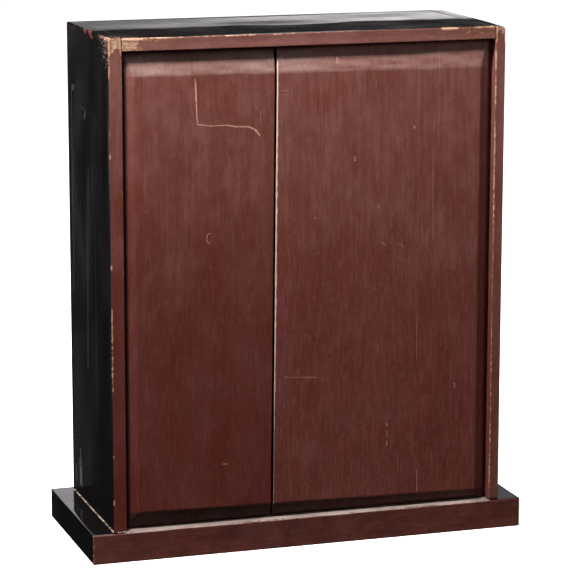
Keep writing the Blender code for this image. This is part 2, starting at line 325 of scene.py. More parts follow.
def layBumps(add, layers):
    # bumps over one another, each (pattern, strength, height in mm); a negative height is pressed in
    below = {}
    for texture, strength, high in layers:
        bump = add("Bump", {"Height": texture, "Strength": strength, "Distance": abs(high) * mm, **below},
                   invert=high < 0)
        below = {"Normal": bump}
    return bump


def meshLayer(add, layerName, texture, span):
    # a layer painted on the mesh, as it is and made uneven by a pattern
    layer = add("Attribute", attribute_name=layerName).outputs["Fac"]
    uneven = add("MapRange", (texture, *span), **eased)
    return layer, add("Math", (layer, uneven), operation="MULTIPLY", use_clamp=True)


def wornAmount(add, place, upright):
    # how worn each spot is: the mesh's own wear w made ragged by a noise n, as w + 1.3 (n - 0.5)
    rub = grained(add, place, upright, (2.6, 4.5, 5.0, 0.68))
    worn = add("Attribute", attribute_name="worn").outputs["Fac"]
    return add("Math", (add("Math", (rub, 0.5), operation="SUBTRACT"), 1.3, worn), operation="MULTIPLY_ADD")


def specks(add, place, cell, reach, rare):
    # small dots in cells of the given mm; reach is a dot's size as a share of the cell, and a cell whose
    # own random number is under rare has none
    cells = add("TexVoronoi", {"Vector": inCells(add, place, (cell, cell, cell)), "Scale": 1.0})
    small = add("Math", (cells.outputs["Distance"], reach), operation="LESS_THAN")
    number = add("SeparateXYZ", [cells.outputs["Color"]]).outputs[0]
    chosen = add("Math", (number, rare), operation="GREATER_THAN")
    return add("Math", (add("Math", (small, chosen), operation="MULTIPLY"), 0.6), operation="MULTIPLY")


def bareWood(add, place, upright, across, along):
    # old softwood where the paint is gone: tan, paler along the growth lines, with dirt rubbed in
    lines = grained(add, place, upright, (across, along, 4.0, 0.6))
    dirt = blobs(add, place, (1.6, 1.6, 1.6), 4.0, 0.65)
    return layOver(add, "#99694b", [(lines, "#d2a98c", 0.35, 0.65), (dirt, "#5f3526", 0.52, 0.68, 0.0, 0.75)])


def strokes(add, place, marks, flat=(1, 0, 1)):
    # Scratches and specks at real places, in mm: each is (x1, z1, x2, z2, half width, strength), and the
    # strongest wins. flat drops one axis; on (0, 0.25, 1) the first coordinate runs along y and marks are
    # 4 times as wide. The distance to a segment from A to B is |p - A - h(B - A)|, where
    # h = (p - A).(B - A) / |B - A|^2, held to 0..1.
    shaken = blobs(add, place, (3, 3, 3), 3.0, 0.5).outputs["Color"]
    offset = add("VectorMath", (shaken, [1.3 * mm] * 3, [-0.65 * mm] * 3), operation="MULTIPLY_ADD")
    spot = add("VectorMath", (place, offset), operation="ADD")
    spot = add("VectorMath", (spot, flat), operation="MULTIPLY")
    total = 0.0
    for x1, z1, x2, z2, half, strength in marks:
        start = Vector((x1 * flat[0], x1 * flat[1], z1)) * mm
        run = Vector((x2 * flat[0], x2 * flat[1], z2)) * mm - start
        away = add("VectorMath", (spot, start), operation="SUBTRACT")
        share = add("Clamp", [add("VectorMath", (away, run / run.length_squared), operation="DOT_PRODUCT")])
        foot = add("VectorMath", {0: run, "Scale": share}, operation="SCALE")
        away = add("VectorMath", (away, foot), operation="SUBTRACT")
        distance = add("VectorMath", [away], operation="LENGTH")
        mask = add("MapRange", (distance, 0.35 * half * mm, half * mm, strength, 0.0), **eased)
        total = add("Math", (total, mask), operation="MAXIMUM")
    broken = add("MapRange", (blobs(add, place, (1.8, 1.8, 1.8), 3.0, 0.6), 0.36, 0.56, 0.35, 1.0), **eased)
    return add("Math", (total, broken), operation="MULTIPLY")


# Iron-oxide paint, brushed thin on softwood: satin, grain showing through, greyer higher up, partly dust and
# partly painted sheen from the light above
paintLook = {
    "rich": "#5f261d", "brown": "#70382e", "lowerShade": "#501408", "darkShade": "#240d08", "grey": "#824d45",
    "pale": "#8f665c", "deep": "#43190f", "thin": "#86553f", "overallShade": "#2a1613", "dust": "#a89088",
    "chalk": "#cdb5a2", "scratch": "#d2a08c", "speck": "#c79a82", "roughness": (0.42, 0.62),
    # patterns as (mm across the grain, mm along it, detail, roughness)
    "streak": (3.4, 70, 4.0, 0.60), "hair": (1.5, 26, 4.0, 0.70), "mottle": (3.4, 6.0, 5.0, 0.78),
    "patch": (12, 24, 4.0, 0.62),
}


def redPaint(name, upright, marks=(), darkMarksAndShade=(), overallShade=0.0, lowerShade=0.0):
    # marks are pale scratches, and the dark ones are dark marks and painted shade, such as a scratch's shadow
    # and a pin hole's dark inside; one amount darkens the whole coat in patches and the other reddens and
    # darkens its lower half, both as painted shade
    material, add, place = newMaterial(name)
    look = paintLook
    streak, hair, mottle, patch = [grained(add, place, upright, look[key])
                                   for key in ("streak", "hair", "mottle", "patch")]
    cloud = blobs(add, place, (34, 34, 60))
    height = add("SeparateXYZ", [place]).outputs[2]
    patchShare = add("Math", (patch, 0.55), operation="MULTIPLY")
    grainy = add("Math", (streak, 0.45, patchShare), operation="MULTIPLY_ADD")
    # the coat greys higher up, partly dust and partly painted sheen where the light from above falls, and
    # also in cloudy patches and along the grain
    spans = ((height, 0.17, 0.52, 0.0, 0.74), (cloud, 0.3, 0.7, -0.12, 0.14),
             (grainy, 0.38, 0.62, 0.36, -0.40))
    paintedSheenAbove, clouded, between = [add("MapRange", span, **eased) for span in spans]
    greyed = add("Math", (paintedSheenAbove, clouded), operation="ADD")
    greyed = add("Math", (greyed, between), operation="ADD", use_clamp=True)
    layers = [(grainy, look["brown"], 0.40, 0.61), (greyed, look["grey"]),
              (mottle, look["pale"], 0.54, 0.74, 0.0, 0.42), (mottle, look["deep"], 0.48, 0.26, 0.0, 0.34),
              (hair, look["pale"], 0.54, 0.74, 0.0, 0.38), (hair, look["deep"], 0.46, 0.28, 0.0, 0.42)]
    # painted shade: the whole coat darkened in patches, used for the plinth's back, low down
    if overallShade:
        layers.append((patch, look["overallShade"], 0.30, 0.62, overallShade, 0.4 * overallShade))
    # painted shade: the lower half darkened and reddened where the light falls off, on the right back board
    # and the right board's back edge
    if lowerShade:
        lower = add("MapRange", (height, 0.44, 0.20, 0.30 * lowerShade, lowerShade), **eased)
        patchy = add("MapRange", (patch, 0.3, 0.65, 0.7, 1.0), **eased)
        layers.append((add("Math", (lower, patchy), operation="MULTIPLY"), look["lowerShade"]))
    # the pale layer is dust, and also painted sheen on the top bevel and painted light on the left board's
    # back edge
    dustAndLightLayer, dust = meshLayer(add, "dustAndPaintedLight", mottle, (0.3, 0.7, 0.7, 1.3))
    # painted shade: a dark tone laid where the mesh's shade layer marks it
    darkShade = meshLayer(add, "paintedShade", mottle, (0.3, 0.7, 1.1, 0.8))[1]
    speck = specks(add, place, 7, 0.05, 0.80)
    layers += [(dust, look["dust"]), (darkShade, look["darkShade"]), (speck, look["speck"])]
    if darkMarksAndShade:
        layers.append((strokes(add, place, darkMarksAndShade), look["deep"]))
    if marks:
        layers.append((strokes(add, place, marks), look["scratch"]))

    amount = wornAmount(add, place, upright)
    bare = add("MapRange", (amount, 0.44, 0.53), **eased)
    wood = layOver(add, bareWood(add, place, upright, *look["hair"][:2]), [(dustAndLightLayer, look["chalk"])])
    layers += [(amount, look["thin"], 0.28, 0.44, 0.0, 0.75), (bare, wood)]
    rough = add("MapRange", (cloud, 0.3, 0.7, *look["roughness"]), **eased)
    rough = add("Math", (bare, 0.25, rough), operation="MULTIPLY_ADD")
    rough = add("Math", (darkShade, 0.35, rough), operation="MULTIPLY_ADD", use_clamp=True)
    bumps = [(streak, 0.55, 0.10), (hair, 0.45, 0.05), (mottle, 0.5, 0.10), (bare, 0.6, -0.12)]
    colour = layOver(add, look["rich"], layers)
    return finishMaterial(material, add, {"Base Color": colour, "Roughness": rough,
                                          "Normal": layBumps(add, bumps)})


# Urushi lacquer, brushed black over wood: deep gloss with long waves, worn brown then bare at the arrises
lacquerLook = {
    "black": "#0a0708", "insideBlack": "#1b1412", "worn": "#130e0f", "brown": "#2a1510", "hair": "#2c2625",
    "dust": "#bba69c", "crumb": "#8d857d", "scratch": "#9a9290", "rust": "#7a4640", "roughness": (0.07, 0.13),
    "insideDuller": 0.28, "ior": 1.5, "wave": (7, 150, 3.0, 0.5), "hairline": (0.8, 30, 3.0, 0.6),
    # the top's rubbed back corner and how far the flecks reach from it, in m, and the top's fall in degrees
    "rubbedCorner": (0.209, 0.089, 0.533), "rubbedReach": 0.062, "rolledEdge": 1.7,
}


def blackLacquer(name, upright, marks=(), spots=(), inside=False, rolled=False):
    # marks are grey scratches and painted reflection streaks, and spots are rust-red ones, both on the faces
    # along y and z; inside it is thin and dull
    material, add, place = newMaterial(name)
    look = lacquerLook
    wave, hair = [grained(add, place, upright, look[key]) for key in ("wave", "hairline")]
    cloud = blobs(add, place, (40, 40, 60), 4.0, 0.6)
    dust = meshLayer(add, "dustAndPaintedLight", cloud, (0.3, 0.6, 0.75, 1.1))[1]
    layers = [(cloud, look["worn"], 0.5, 0.75, 0.0, 0.5), (hair, look["hair"], 0.62, 0.78, 0.0, 0.22),
              (specks(add, place, 12, 0.03, -1.0), look["crumb"]), (dust, look["dust"])]
    # the grey serves both the scratches and the painted reflection streaks
    for drawn, colour in ((marks, look["scratch"]), (spots, look["rust"])):
        if drawn:
            layers.append((strokes(add, place, drawn, (0, 0.25, 1)), colour))

    corner = add("VectorMath", (place, look["rubbedCorner"]), operation="DISTANCE")
    corner = add("MapRange", (corner, 0.004, look["rubbedReach"], 1.0, 0.0), **eased)
    fleck = add("MapRange", (blobs(add, place, (1.7, 2.6, 1.7), 4.0, 0.75), 0.46, 0.62, 0.0, 0.78), **eased)
    amount = add("Math", (corner, fleck, wornAmount(add, place, upright)), operation="MULTIPLY_ADD")
    thin = add("MapRange", (amount, 0.26, 0.42), **eased)
    wood = bareWood(add, place, upright, *look["hairline"][:2])
    layers += [(thin, look["brown"]), (amount, wood, 0.47, 0.56)]
    duller = look["insideDuller"] if inside else 0.0
    rough = add("MapRange", (cloud, 0.3, 0.7, *(r + duller for r in look["roughness"])), **eased)
    rough = add("Math", (thin, 0.25, rough), operation="MULTIPLY_ADD")
    rough = add("Math", (dust, 0.5, rough), operation="MULTIPLY_ADD", use_clamp=True)
    bumps = [(wave, 0.5, 0.12), (hair, 0.35, 0.02)]
    if rolled:
        # the near half of the top is planed to fall a degree or so towards the back
        uneven = add("MapRange", (blobs(add, place, (90, 400, 400)), 0.3, 0.7, -0.012, 0.004), **eased)
        crest = add("Math", (add("SeparateXYZ", [place]).outputs[1], uneven), operation="ADD")
        crest = add("Math", (crest, 0.0), operation="MAXIMUM")
        slope = -math.tan(math.radians(look["rolledEdge"]))
        bumps.insert(1, (add("Math", (crest, slope), operation="MULTIPLY"), 1.0, 1000.0))
    colour = layOver(add, look["insideBlack" if inside else "black"], layers)
    return finishMaterial(material, add, {"Base Color": colour, "Roughness": rough, "IOR": look["ior"],
                                          "Normal": layBumps(add, bumps)})


def plainWood(name, upright):
    # softwood left bare where it never shows, darkened by age
    material, add, place = newMaterial(name)
    lines = grained(add, place, upright, (1.2, 60, 5.0, 0.6))
    colour = layOver(add, "#6d4a30", [(lines, "#9a7450", 0.35, 0.68)])
    return finishMaterial(material, add, {"Base Color": colour, "Roughness": 0.7,
                                          "Normal": layBumps(add, [(lines, 0.5, 0.1)])})


def agedBrass():
    # cast and filed brass, tarnished in the hollows: warm yellow, brown in patches, fine file lines
    material, add, place = newMaterial("agedBrass")
    cloud = blobs(add, place, (4, 4, 4), 4.0, 0.6)
    filed = blobs(add, place, (6, 6, 0.25), 2.0, 0.5)
    rough = add("MapRange", (cloud, 0.3, 0.7, 0.24, 0.48), **eased)
    colour = layOver(add, "#c9a25a", [(cloud, "#7d5c2c", 0.35, 0.7)])
    return finishMaterial(material, add, {"Base Color": colour, "Metallic": 1.0, "Roughness": rough,
                                          "Normal": layBumps(add, [(filed, 0.3, 0.02)])})


# Marks at their real places, in mm: (x1, z1, x2, z2, half width, strength)
backMarks = {
    "angled scratch, down": (120.6, 486.0, 120.1, 468.0, 1.15, 1.0),
    "angled scratch, down on": (120.1, 468.0, 119.0, 445.2, 0.90, 0.9),
    "angled scratch, top dot": (121.3, 489.6, 120.6, 487.0, 1.2, 0.6),
    "angled scratch, across": (117.6, 444.4, 104.0, 442.6, 0.80, 0.8),
    "angled scratch, across on": (104.0, 442.6, 90.0, 442.9, 0.70, 0.75),
    "angled scratch, rising": (90.0, 442.9, 78.0, 440.9, 0.95, 0.9),
    "angled scratch, ending": (78.0, 440.9, 65.0, 440.2, 0.90, 0.95),
    "angled scratch, turn": (65.0, 440.2, 58.5, 436.8, 1.00, 0.95),
    "angled scratch, end": (58.5, 436.8, 54.0, 431.0, 1.25, 1.0),
    "dash, upper": (-47.3, 404.6, -47.4, 400.6, 0.75, 0.95),
    "fleck, middle": (-74.5, 351.5, -73.0, 352.5, 0.9, 0.55),
    "fleck, by the slit": (-4.2, 344.0, -5.0, 343.6, 0.7, 0.7),
    "small hook, top": (109.0, 333.0, 106.5, 333.6, 0.45, 0.7),
    "small hook, side": (109.4, 332.6, 109.6, 325.0, 0.50, 0.8),
    "small hook, foot": (109.4, 324.6, 107.2, 323.6, 0.45, 0.7),
    "trail, top": (-84.3, 122.6, -84.6, 119.5, 0.7, 0.9),
    "trail, middle": (-84.6, 114.0, -84.9, 107.8, 0.55, 0.7),
    "trail, foot": (-84.8, 103.0, -84.7, 98.5, 0.6, 0.8),
    "ring round the pin hole": (-111.9, 432.2, -111.9, 432.0, 1.9, 0.6),
    "faint level scratch": (26.6, 179.5, -7.1, 177.0, 0.55, 0.45),
    "faint upright line, high": (-138.7, 511.2, -139.2, 477.2, 0.5, 0.35),
    "faint upright line, low": (-132.4, 408.1, -133.6, 313.8, 0.5, 0.3),
    "short dash by the foot": (93.5, 93.0, 88.5, 92.6, 0.5, 0.75),
    "twig, stem": (53.3, 453.9, 52.8, 443.7, 0.5, 0.40),
    "twig, left": (58.6, 460.8, 53.3, 453.9, 0.45, 0.35),
    "twig, right": (47.2, 457.8, 53.3, 453.9, 0.4, 0.25),
    "wedge mark, right": (-28.4, 506.8, -27.9, 500.8, 0.6, 0.9),
    "wedge mark, left": (-28.4, 506.8, -31.1, 500.6, 0.6, 0.8),
    "two short lines, upper": (31.6, 474.9, 23.7, 474.8, 0.45, 0.45),
    "two short lines, lower": (31.1, 471.0, 24.8, 471.3, 0.45, 0.40),
    "raised bit at the joint": (-118.6, 68.4, -118.8, 46.6, 0.55, 0.6),
    "smudge, upper": (-77.3, 313.8, -80.5, 312.0, 1.6, 0.20),
    "smudge, middle": (-97.2, 312.0, -100.5, 309.0, 1.7, 0.20),
    "smudge, lower": (-159.1, 159.5, -160.0, 156.0, 1.8, 0.3),
}
# dark marks, some of them painted shade: the shadow beside the angled scratch and the dark inside of the pin
# hole
backDarkMarksAndShade = {
    "pin hole": (-111.9, 432.2, -111.9, 432.0, 1.0, 1.0),
    "shadow of the angled scratch": (119.2, 487.0, 118.2, 446.5, 0.5, 0.5),
    "worn joint": (-116.2, 235.4, -116.2, 182.0, 0.8, 0.5),
    "between the two short lines": (31.4, 473.0, 24.0, 473.0, 0.5, 0.45),
}
sideMarks = {
    "long fine line": (-2.2, 390.3, -13.9, 177.6, 0.40, 0.24),
    "scratch": (-11.7, 447.8, -14.0, 441.0, 0.6, 0.5),
    "scratch, level": (-30.0, 452.0, -8.0, 449.0, 0.5, 0.3),
    "smudge": (-62.6, 465.3, -60.5, 470.0, 1.4, 0.3),
    # the bright streaks and their haze are a painted reflection in the side's lacquer
    "painted reflection": (-51.1, 64.0, -52.2, 46.0, 1.1, 0.70),
    "haze round the painted reflection": (-53.0, 72.0, -50.0, 44.0, 2.0, 0.34),
    "painted reflection, front": (-70.0, 62.0, -70.5, 44.0, 1.1, 0.25),
    "painted reflection, fading": (-51.6, 84.0, -51.1, 66.0, 0.8, 0.35),
    "fine line, front": (-70.0, 470.0, -71.5, 250.0, 0.5, 0.18),
    "fine line, middle": (25.0, 330.0, 24.0, 120.0, 0.4, 0.09),
    "fine line, back": (52.0, 500.0, 50.0, 380.0, 0.35, 0.09),
}
sideSpots = {
    "spot, front": (-16.0, 535.5, -6.0, 530.5, 2.0, 0.95),
    "spot, back": (9.0, 533.5, 20.0, 528.0, 2.3, 0.95),
}
print("materials")
scratches, darkMarksAndShade = list(backMarks.values()), list(backDarkMarksAndShade.values())
paintBack = redPaint("redPaintBackBoards", True, scratches, darkMarksAndShade)
paintBackRight = redPaint("redPaintBackBoardRight", True, scratches, darkMarksAndShade, lowerShade=0.55)
paintRightEdge = redPaint("redPaintRightEdge", True, lowerShade=0.60)
paintLeftEdge = redPaint("redPaintLeftEdge", True)
paintLevel = redPaint("redPaintLevelEdges", False)
paintPlinth = redPaint("redPaintPlinth", False, overallShade=0.45)
lacquerUpright = blackLacquer("blackLacquerUpright", True)
lacquerSide = blackLacquer("blackLacquerSide", True, list(sideMarks.values()), list(sideSpots.values()))
lacquerLevel = blackLacquer("blackLacquerLevel", False)
lacquerTop = blackLacquer("blackLacquerTop", False, rolled=True)
lacquerInside = blackLacquer("blackLacquerInside", True, inside=True)
woodBelow = plainWood("bareWoodBelow", False)
brass = agedBrass()


# Case

caseLook = {
    "radius": 0.55 * mm, "loss": 1.5 * mm, "wave": 0.10 * mm, "step": 2.2 * mm, "endRadius": 0.2 * mm,
    "faceStep": 6 * mm, "edgeStep": 2.5 * mm, "fineStep": 0.5 * mm, "underSkin": 0.05 * mm,
    # corner is how far the outer top corner is rounded off, rubbed how far down the edge behind is
    # rubbed, and worn places up the two arrises behind are (middle, half length, amount), in m
    "right": {"corner": 3.2 * mm, "rubbed": 13 * mm, "seed": 11,
              "outerBack": [(0.527, 0.012, 0.9), (0.503, 0.011, 0.62), (0.245, 0.022, 0.60),
                            (0.200, 0.030, 0.55), (0.440, 0.004, 0.60), (0.4167, 0.003, 0.7),
                            (0.3046, 0.003, 0.7), (0.110, 0.003, 0.6), (0.062, 0.004, 0.6)],
              "innerBack": [(0.527, 0.012, 0.9), (0.500, 0.020, 0.52), (0.378, 0.006, 0.6),
                            (0.30, 0.004, 0.5)]},
    "left": {"corner": 5.5 * mm, "rubbed": 7 * mm, "seed": 47,
             "outerBack": [(0.526, 0.010, 0.8)],
             "innerBack": [(0.527, 0.012, 0.85), (0.498, 0.012, 0.70), (0.468, 0.020, 0.62),
                           (0.385, 0.065, 0.60), (0.300, 0.060, 0.50), (0.180, 0.070, 0.48),
                           (0.080, 0.045, 0.55)]},
}
rightLow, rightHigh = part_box("side_board_right")
topLow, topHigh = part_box("top_board")
panelRightLow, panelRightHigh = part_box("back_board_right")
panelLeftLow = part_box("back_board_left")[0]
touch = 0.3 * mm                                # the play between boards
insideHalf = rightLow.x
rabbetFront = panelRightLow.y - touch
caseBack, caseFront = rightHigh.y, rightLow.y
rightWall, leftWall = topHigh.x + touch, topLow.x - touch


def sideBoard(word, side):
    # L-shaped section swept upwards; corners counter-clockwise seen from above
    name, look = "side_board_" + word, caseLook[word]
    low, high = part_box(name)
    corner, rubbed, seed = look["corner"], look["rubbed"], look["seed"]
    outer, wall = (high.x, rightWall) if side > 0 else (low.x, leftWall)
    start, bend = low.z + caseLook["endRadius"], high.z - corner - 1 * mm
    end = high.z - caseLook["underSkin"] - caseLook["endRadius"]
    coarse = np.linspace(start, bend, int((bend - start) / caseLook["step"]), endpoint=False)
    fine = np.linspace(bend, end, int((end - bend) / caseLook["fineStep"]) + 1)
    outline = [(side * insideHalf, caseFront), (outer, caseFront), (outer, caseBack), (wall, caseBack),
               (wall, rabbetFront), (side * insideHalf, rabbetFront)]
    wear = {1: [], 2: look["outerBack"], 3: look["innerBack"]}
    sides = [0, 0, 1, 1, 1, 2]      # front, outer, back edge, rabbet wall, rabbet face, inside
    if side < 0:
        outline = [outline[0]] + outline[:0:-1]
        wear = {5: [], 4: look["outerBack"], 3: look["innerBack"]}
        sides = [2, 1, 1, 1, 0, 0]

    def reshape(ring, along):
        # The outer top corner is rounded off, less towards the front: at a height h above the rounding's
        # start the side stands in by R - sqrt(R^2 - h^2). The last two rings are the top face's own, so
        # they stay inside.
        above = np.clip(along - (high.z - corner), 0, corner)
        cut = corner - np.sqrt(corner ** 2 - above ** 2)
        share = 0.45 + 0.55 * smooth(caseBack - 50 * mm, caseBack - 8 * mm, ring[:, :, 1])
        inset = cut[:, None] * share
        inset[-2:] += endRings[:, None]
        limit = outer - side * inset
        ring[:, :, 0] = np.minimum(ring[:, :, 0], limit) if side > 0 else np.maximum(ring[:, :, 0], limit)

    def touchUp(worn, dustAndPaintedLight, ring, along):
        # rubbed rim round the top end, flecked round the back corner and mottled bare on the edge behind
        y, down = ring[:, :, 1], (high.z - along)[:, None]
        shaken = down + 5 * mm * wander(seed + 8, ring[:, :, 0], y + along[:, None], 0.012, 0.02)
        ragged = 0.5 + 0.5 * wander(seed + 5, y, down, 0.02, 0.01, 9)
        outside = 1 - smooth(corner, corner + 5 * mm, np.abs(ring[:, :, 0] - outer))
        nearBack = smooth(caseBack - 28 * mm, caseBack - 4 * mm, y)
        behind = smooth(caseBack - 1.2 * mm, caseBack - 0.3 * mm, y)
        rim = 1 - smooth(corner, corner + 3 * mm, down)
        for amount, reach in (
                (rim * outside, 0.16 + 0.10 * ragged + 0.20 * nearBack),
                (outside * nearBack, 0.20 * (1 - smooth(8 * mm, 24 * mm, shaken))),
                (behind, 0.58 * (1 - smooth(0.7 * rubbed, 1.2 * rubbed, shaken))),
                (behind, 0.27 * (1 - smooth(2 * rubbed, 5 * rubbed, shaken)))):
            worn[:] = np.maximum(worn, amount * reach)
        # pale dust behind on the right board's upper part; on the left board all along, a pale tone that is
        # painted light
        dustAndPaintedLight[:] = behind * (0.08 * smooth(0.42, 0.53, along)[:, None] if side > 0 else 0.04)

    board = {**caseLook, "outline": outline, "length": (low.z, high.z - caseLook["underSkin"]),
             "stations": np.concatenate([coarse, fine]), "wear": wear, "sideMaterial": sides,
             "endMaterial": (0, 3), "reshape": reshape,
             "sideStep": {1 if side > 0 else 4: caseLook["faceStep"], 2: caseLook["edgeStep"],
                          3: caseLook["edgeStep"]}, "touchUp": touchUp}
    outside, behind = (lacquerSide, paintRightEdge) if side > 0 else (lacquerUpright, paintLeftEdge)
    addBoard(name, "case", board, (0, 1, 2), seed, [outside, behind, lacquerInside, lacquerTop])


print("side boards")
sideBoard("right", 1)
sideBoard("left", -1)

print("top board")
topLook = {
    "radius": 0.55 * mm, "loss": 1.6 * mm, "wave": 0.12 * mm, "endRadius": 0.12 * mm,
    "backUpper": [(0.186, 0.013, 0.9), (0.160, 0.016, 0.62), (0.120, 0.028, 0.52), (0.075, 0.022, 0.60),
                  (0.030, 0.020, 0.50), (-0.1485, 0.011, 0.95), (-0.186, 0.014, 0.7), (-0.02, 0.03, 0.45)],
    "backLower": [(0.190, 0.008, 0.75), (0.170, 0.014, 0.55), (-0.175, 0.018, 0.58), (-0.192, 0.007, 0.7)],
}
notchY = rabbetFront + touch
lipBottom = panelRightHigh.z + touch
shoulder = insideHalf - touch


def foldEars(ring, along):
    # past the side boards' inner faces only the strip in their rabbets is left: there the front stretch of
    # the ring folds onto the wall of the notch, as points spread evenly from its top to its bottom
    front = np.where(ring[len(along) // 2, :, 0] < notchY - 1e-6)[0]
    start = front[np.where(np.diff(np.append(front[-1] - ring.shape[1], front)) > 1)[0][0]]
    chain = (start + np.arange(len(front))) % ring.shape[1]
    wall = np.linspace(topHigh.z, lipBottom, len(chain) + 2)[1:-1]
    if ring[len(along) // 2, chain[0], 1] < ring[len(along) // 2, chain[-1], 1]:
        wall = wall[::-1]
    for row in np.where(np.abs(along) > shoulder + 0.01 * mm)[0]:
        ring[row, chain, 0] = notchY
        ring[row, chain, 1] = wall


def topTouchUp(worn, dustAndPaintedLight, ring, along):
    # behind, mottled bare by its right end and flecked by its left end
    behind = smooth(caseBack - 1.2 * mm, caseBack - 0.3 * mm, ring[:, :, 0])
    shaken = along[:, None] + 6 * mm * wander(83, ring[:, :, 1], along[:, None], 0.02, 0.012)
    upper = smooth(lipBottom + 3 * mm, topHigh.z, ring[:, :, 1])
    worn[:] = np.maximum(worn, behind * 0.56 * smooth(0.170, 0.180, shaken))
    worn[:] = np.maximum(worn, behind * 0.50 * upper * smooth(0.108, 0.150, shaken))
    worn[:] = np.maximum(worn, behind * 0.30 * upper * smooth(-0.02, 0.08, shaken))
    worn[:] = np.maximum(worn, behind * 0.34 * smooth(-0.140, -0.168, shaken))
    dustAndPaintedLight[:] = 0.08 * behind


topStations = [topLow.x + 0.15 * mm, -shoulder - 0.05 * mm, *np.linspace(-shoulder, shoulder, 176),
               shoulder + 0.05 * mm, topHigh.x - 0.15 * mm]
boardTop = topHigh.z - caseLook["underSkin"]
topBoard = {
    **topLook, "outline": [(caseFront, topLow.z), (rabbetFront, topLow.z), (rabbetFront, lipBottom),
                           (caseBack, lipBottom), (caseBack, boardTop), (caseFront, boardTop)],
    "length": (topLow.x, topHigh.x), "stations": np.array(topStations), "sideMaterial": [2, 1, 1, 1, 0, 0],
    "wear": {3: topLook["backLower"], 4: topLook["backUpper"], 5: []}, "sideStep": {3: 2.5 * mm, 4: 5 * mm},
    "reshape": foldEars, "touchUp": topTouchUp,
}
addBoard("top_board", "case", topBoard, (1, 2, 0), 71, [lacquerTop, paintLevel, lacquerInside])

print("plinth")
plinthLow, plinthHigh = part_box("plinth")
plinthLook = {
    "radius": 0.8 * mm, "loss": 1.3 * mm, "wave": 0.10 * mm, "step": 2.4 * mm, "endRadius": 0.9 * mm,
    "backUpper": [(0.222, 0.012, 0.40), (0.0, 0.30, 0.26), (0.06, 0.03, 0.40), (-0.12, 0.02, 0.44)],
    "backRadius": 1.5 * mm, "dustFrom": 73.0 * mm, "dustDown": 0.9 * mm, "dust": 0.62,
}


def plinthTouchUp(worn, dustAndPaintedLight, ring, along):
    # rubbed upright corners, and a dusty ledge behind the case where nothing wipes it
    atEnd = 1 - smooth(0.3 * mm, 2.5 * mm, np.minimum(along - plinthLow.x, plinthHigh.x - along))
    back = smooth(plinthHigh.y - 3 * mm, plinthHigh.y - 0.5 * mm, ring[:, :, 0])
    ragged = 0.5 + 0.5 * wander(97, ring[:, :, 1], 0 * ring[:, :, 1], 0.012, 1.0, 9)
    worn[:] = np.maximum(worn, atEnd[:, None] * (0.08 + (0.06 + 0.30 * ragged) * back))
    y, rest = ring[:, :, 0], plinthHigh.z - ring[:, :, 1]
    uneven = 0.35 * mm * wander(98, along, 0 * along, 0.03, 1.0)[:, None]
    onTop = 1 - smooth(plinthLook["dustDown"] - 0.3 * mm, plinthLook["dustDown"] + 0.3 * mm, rest + uneven)
    behind = smooth(plinthLook["dustFrom"] - 0.5 * mm, plinthLook["dustFrom"] + 0.5 * mm, y)
    under = smooth(leftWall - 1 * mm, leftWall + 3 * mm, along)
    under = under * smooth(rightWall + 3 * mm, rightWall + 1 * mm, along)
    dustAndPaintedLight[:] = plinthLook["dust"] * onTop * behind * under[:, None]


plinth = {
    **plinthLook, "outline": rectangle(plinthLow, plinthHigh, 1, 2), "length": (plinthLow.x, plinthHigh.x),
    "ownRadius": {2: plinthLook["backRadius"]}, "arcSteps": 6, "sideStep": {2: 4 * mm},
    "wear": {1: [], 2: plinthLook["backUpper"], 3: [], 0: []}, "sideMaterial": [3, 1, 0, 0],
    "touchUp": plinthTouchUp,
}
addBoard("plinth", "case", plinth, (1, 2, 0), 90, [lacquerLevel, paintPlinth, lacquerInside, woodBelow])


# Old filler along the foot of the right side board, and the lacquer that closes the two joints on top

beadLook = {"colour": "#a38c77", "dirt": "#463a30", "size": (0.15 * mm, 0.90 * mm), "step": 1.3 * mm,
            "sides": 10, "skin": 1.1 * mm}


def oldFiller():
    # dried lime filler, dull and cream
    material, add, place = newMaterial("oldFiller")
    dirt = blobs(add, place, (4.0, 9.0, 4.0), 4.0, 0.70)
    colour = layOver(add, beadLook["colour"], [(dirt, beadLook["dirt"], 0.40, 0.58)])
    return finishMaterial(material, add, {"Base Color": colour, "Roughness": 0.85})


def bead(name, start, end, seed):
    # a round bead of uneven size along a line, as rings closed at both ends by a point
    start, end = np.array(start), np.array(end)
    length = np.linalg.norm(end - start)
    run = (end - start) / length
    across = np.cross(run, (0, 0, 1))
    distance = np.linspace(0.4 * mm, length - 0.4 * mm, int(length / beadLook["step"]))
    small, large = beadLook["size"]
    slow = wander(seed, distance, 0 * distance, 0.014, 1.0)
    quick = wander(seed + 1, distance, 0 * distance, 0.004, 1.0)
    size = small + (large - small) * np.clip(0.5 + 0.5 * slow + 0.2 * quick, 0, 1)
    angle = np.linspace(0, 2 * np.pi, beadLook["sides"], endpoint=False)[None, :, None]
    rings = (start + distance[:, None] * run)[:, None] + size[:, None, None] * (
        np.cos(angle) * across + np.sin(angle) * np.array([0, 0, 1.0]))
    points, faces = closeRings(rings, start, end)
    addPiece(name, points, faces, "case", [], [filler], sharp=60)


def skin(name, x):
    # a thin strip over the joint, level with the top of the model
    half, top, bottom = beadLook["skin"], topHigh.z - 0.01 * mm, topHigh.z - 1.2 * mm
    front, back = caseFront + 1.5 * mm, caseBack - 2.5 * mm
    points = [(x + dx, y, z) for z in (bottom, top) for y in (front, back) for dx in (-half, half)]
    faces = [(0, 2, 3, 1), (4, 5, 7, 6), (0, 1, 5, 4), (1, 3, 7, 5), (3, 2, 6, 7), (2, 0, 4, 6)]
    addPiece(name, points, faces, "case", [], [lacquerTop])


